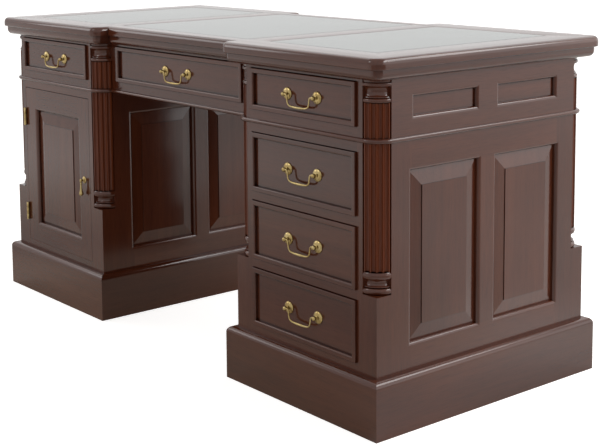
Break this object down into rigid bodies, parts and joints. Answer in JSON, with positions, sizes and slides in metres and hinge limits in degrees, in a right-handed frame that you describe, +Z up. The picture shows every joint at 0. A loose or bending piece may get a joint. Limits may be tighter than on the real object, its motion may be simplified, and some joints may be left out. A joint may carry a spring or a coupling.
{
  "type": "partners desk",
  "caption": "Wooden partners desk: leather-lined breakfront top on two pedestals, with sliding drawers and hinged panelled cupboards facing both sides.",
  "frame": {"origin": "on the floor, under the middle of the desk", "axes": "+X to the right of a sitter at the front, the front faces -Y, +Z up"},
  "size_m": [1.55, 0.71, 0.78],
  "materials": {
    "mahogany": "polished",
    "panel_mahogany": "polished",
    "drawer_lining": "plain",
    "green_leather": "satin",
    "brass": "polished"
  },
  "bodies": {
    "desk": {"top_board": "mahogany", "writing_leathers": "green_leather", "apron_moulding": "mahogany", "frieze_bead": "mahogany", "frieze_carcase": "mahogany", "frieze_columns": "mahogany", "frieze_runners": "drawer_lining", "right_pedestal_frame": "mahogany", "left_pedestal_frame": "mahogany", "right_pedestal_panels": "panel_mahogany", "left_pedestal_panels": "panel_mahogany", "right_pedestal_plinth": "mahogany", "left_pedestal_plinth": "mahogany", "right_pedestal_interior": "drawer_lining", "left_pedestal_interior": "drawer_lining", "right_pedestal_columns": "mahogany", "left_pedestal_columns": "mahogany", "cabinet_hinges": "brass"},
    "front_left_frieze_drawer": {"front_left_frieze_drawer": "panel_mahogany", "front_left_frieze_drawer_pull": "brass"},
    "front_left_frieze_drawer_bail": {"front_left_frieze_drawer_bail": "brass"},
    "front_right_frieze_drawer": {"front_right_frieze_drawer": "panel_mahogany", "front_right_frieze_drawer_pull": "brass"},
    "front_right_frieze_drawer_bail": {"front_right_frieze_drawer_bail": "brass"},
    "front_centre_frieze_drawer": {"front_centre_frieze_drawer": "panel_mahogany", "front_centre_frieze_drawer_pull": "brass"},
    "front_centre_frieze_drawer_bail": {"front_centre_frieze_drawer_bail": "brass"},
    "front_pedestal_drawer_1": {"front_pedestal_drawer_1": "panel_mahogany", "front_pedestal_drawer_1_pull": "brass"},
    "front_pedestal_drawer_1_bail": {"front_pedestal_drawer_1_bail": "brass"},
    "front_pedestal_drawer_2": {"front_pedestal_drawer_2": "panel_mahogany", "front_pedestal_drawer_2_pull": "brass"},
    "front_pedestal_drawer_2_bail": {"front_pedestal_drawer_2_bail": "brass"},
    "front_pedestal_drawer_3": {"front_pedestal_drawer_3": "panel_mahogany", "front_pedestal_drawer_3_pull": "brass"},
    "front_pedestal_drawer_3_bail": {"front_pedestal_drawer_3_bail": "brass"},
    "back_left_frieze_drawer": {"back_left_frieze_drawer": "panel_mahogany", "back_left_frieze_drawer_pull": "brass"},
    "back_left_frieze_drawer_bail": {"back_left_frieze_drawer_bail": "brass"},
    "back_right_frieze_drawer": {"back_right_frieze_drawer": "panel_mahogany", "back_right_frieze_drawer_pull": "brass"},
    "back_right_frieze_drawer_bail": {"back_right_frieze_drawer_bail": "brass"},
    "back_centre_frieze_drawer": {"back_centre_frieze_drawer": "panel_mahogany", "back_centre_frieze_drawer_pull": "brass"},
    "back_centre_frieze_drawer_bail": {"back_centre_frieze_drawer_bail": "brass"},
    "back_pedestal_drawer_1": {"back_pedestal_drawer_1": "panel_mahogany", "back_pedestal_drawer_1_pull": "brass"},
    "back_pedestal_drawer_1_bail": {"back_pedestal_drawer_1_bail": "brass"},
    "back_pedestal_drawer_2": {"back_pedestal_drawer_2": "panel_mahogany", "back_pedestal_drawer_2_pull": "brass"},
    "back_pedestal_drawer_2_bail": {"back_pedestal_drawer_2_bail": "brass"},
    "back_pedestal_drawer_3": {"back_pedestal_drawer_3": "panel_mahogany", "back_pedestal_drawer_3_pull": "brass"},
    "back_pedestal_drawer_3_bail": {"back_pedestal_drawer_3_bail": "brass"},
    "front_door": {"front_door": "panel_mahogany", "front_door_brass": "brass"},
    "front_door_drop": {"front_door_drop": "brass"},
    "back_door": {"back_door": "panel_mahogany", "back_door_brass": "brass"},
    "back_door_drop": {"back_door_drop": "brass"}
  },
  "joints": [
    {"name": "front_left_frieze_drawer_slide", "type": "slide", "parent": "desk", "child": "front_left_frieze_drawer", "axis": [0, -1, 0], "range_m": [0, 0.26]},
    {"name": "front_left_frieze_drawer_bail_swing", "type": "hinge", "parent": "front_left_frieze_drawer", "child": "front_left_frieze_drawer_bail", "pos_m": [-0.51925, -0.3375, 0.6805], "axis": [-1, 0, 0], "range_deg": [-20, 195]},
    {"name": "front_right_frieze_drawer_slide", "type": "slide", "parent": "desk", "child": "front_right_frieze_drawer", "axis": [0, -1, 0], "range_m": [0, 0.26]},
    {"name": "front_right_frieze_drawer_bail_swing", "type": "hinge", "parent": "front_right_frieze_drawer", "child": "front_right_frieze_drawer_bail", "pos_m": [0.51925, -0.3375, 0.6805], "axis": [-1, 0, 0], "range_deg": [-20, 195]},
    {"name": "front_centre_frieze_drawer_slide", "type": "slide", "parent": "desk", "child": "front_centre_frieze_drawer", "axis": [0, -1, 0], "range_m": [0, 0.22]},
    {"name": "front_centre_frieze_drawer_bail_swing", "type": "hinge", "parent": "front_centre_frieze_drawer", "child": "front_centre_frieze_drawer_bail", "pos_m": [0, -0.2965, 0.6805], "axis": [-1, 0, 0], "range_deg": [-20, 195]},
    {"name": "front_pedestal_drawer_1_slide", "type": "slide", "parent": "desk", "child": "front_pedestal_drawer_1", "axis": [0, -1, 0], "range_m": [0, 0.26]},
    {"name": "front_pedestal_drawer_1_bail_swing", "type": "hinge", "parent": "front_pedestal_drawer_1", "child": "front_pedestal_drawer_1_bail", "pos_m": [0.51925, -0.3375, 0.5165], "axis": [-1, 0, 0], "range_deg": [-20, 195]},
    {"name": "front_pedestal_drawer_2_slide", "type": "slide", "parent": "desk", "child": "front_pedestal_drawer_2", "axis": [0, -1, 0], "range_m": [0, 0.26]},
    {"name": "front_pedestal_drawer_2_bail_swing", "type": "hinge", "parent": "front_pedestal_drawer_2", "child": "front_pedestal_drawer_2_bail", "pos_m": [0.51925, -0.3375, 0.3625], "axis": [-1, 0, 0], "range_deg": [-20, 195]},
    {"name": "front_pedestal_drawer_3_slide", "type": "slide", "parent": "desk", "child": "front_pedestal_drawer_3", "axis": [0, -1, 0], "range_m": [0, 0.26]},
    {"name": "front_pedestal_drawer_3_bail_swing", "type": "hinge", "parent": "front_pedestal_drawer_3", "child": "front_pedestal_drawer_3_bail", "pos_m": [0.51925, -0.3375, 0.2085], "axis": [-1, 0, 0], "range_deg": [-20, 195]},
    {"name": "back_left_frieze_drawer_slide", "type": "slide", "parent": "desk", "child": "back_left_frieze_drawer", "axis": [0, 1, 0], "range_m": [0, 0.26]},
    {"name": "back_left_frieze_drawer_bail_swing", "type": "hinge", "parent": "back_left_frieze_drawer", "child": "back_left_frieze_drawer_bail", "pos_m": [-0.51925, 0.3375, 0.6805], "axis": [1, 0, 0], "range_deg": [-20, 195]},
    {"name": "back_right_frieze_drawer_slide", "type": "slide", "parent": "desk", "child": "back_right_frieze_drawer", "axis": [0, 1, 0], "range_m": [0, 0.26]},
    {"name": "back_right_frieze_drawer_bail_swing", "type": "hinge", "parent": "back_right_frieze_drawer", "child": "back_right_frieze_drawer_bail", "pos_m": [0.51925, 0.3375, 0.6805], "axis": [1, 0, 0], "range_deg": [-20, 195]},
    {"name": "back_centre_frieze_drawer_slide", "type": "slide", "parent": "desk", "child": "back_centre_frieze_drawer", "axis": [0, 1, 0], "range_m": [0, 0.22]},
    {"name": "back_centre_frieze_drawer_bail_swing", "type": "hinge", "parent": "back_centre_frieze_drawer", "child": "back_centre_frieze_drawer_bail", "pos_m": [0, 0.2965, 0.6805], "axis": [1, 0, 0], "range_deg": [-20, 195]},
    {"name": "back_pedestal_drawer_1_slide", "type": "slide", "parent": "desk", "child": "back_pedestal_drawer_1", "axis": [0, 1, 0], "range_m": [0, 0.26]},
    {"name": "back_pedestal_drawer_1_bail_swing", "type": "hinge", "parent": "back_pedestal_drawer_1", "child": "back_pedestal_drawer_1_bail", "pos_m": [-0.51925, 0.3375, 0.5165], "axis": [1, 0, 0], "range_deg": [-20, 195]},
    {"name": "back_pedestal_drawer_2_slide", "type": "slide", "parent": "desk", "child": "back_pedestal_drawer_2", "axis": [0, 1, 0], "range_m": [0, 0.26]},
    {"name": "back_pedestal_drawer_2_bail_swing", "type": "hinge", "parent": "back_pedestal_drawer_2", "child": "back_pedestal_drawer_2_bail", "pos_m": [-0.51925, 0.3375, 0.3625], "axis": [1, 0, 0], "range_deg": [-20, 195]},
    {"name": "back_pedestal_drawer_3_slide", "type": "slide", "parent": "desk", "child": "back_pedestal_drawer_3", "axis": [0, 1, 0], "range_m": [0, 0.26]},
    {"name": "back_pedestal_drawer_3_bail_swing", "type": "hinge", "parent": "back_pedestal_drawer_3", "child": "back_pedestal_drawer_3_bail", "pos_m": [-0.51925, 0.3375, 0.2085], "axis": [1, 0, 0], "range_deg": [-20, 195]},
    {"name": "front_door_hinge", "type": "hinge", "parent": "desk", "child": "front_door", "pos_m": [-0.68975, -0.3318, 0.3615], "axis": [0, 0, -1], "range_deg": [0, 120]},
    {"name": "front_door_drop_swing", "type": "hinge", "parent": "front_door", "child": "front_door_drop", "pos_m": [-0.37825, -0.3385, 0.361], "axis": [-1, 0, 0], "range_deg": [-6, 180]},
    {"name": "back_door_hinge", "type": "hinge", "parent": "desk", "child": "back_door", "pos_m": [0.68975, 0.3318, 0.3615], "axis": [0, 0, -1], "range_deg": [0, 120]},
    {"name": "back_door_drop_swing", "type": "hinge", "parent": "back_door", "child": "back_door_drop", "pos_m": [0.37825, 0.3385, 0.361], "axis": [1, 0, 0], "range_deg": [-6, 180]}
  ]
}
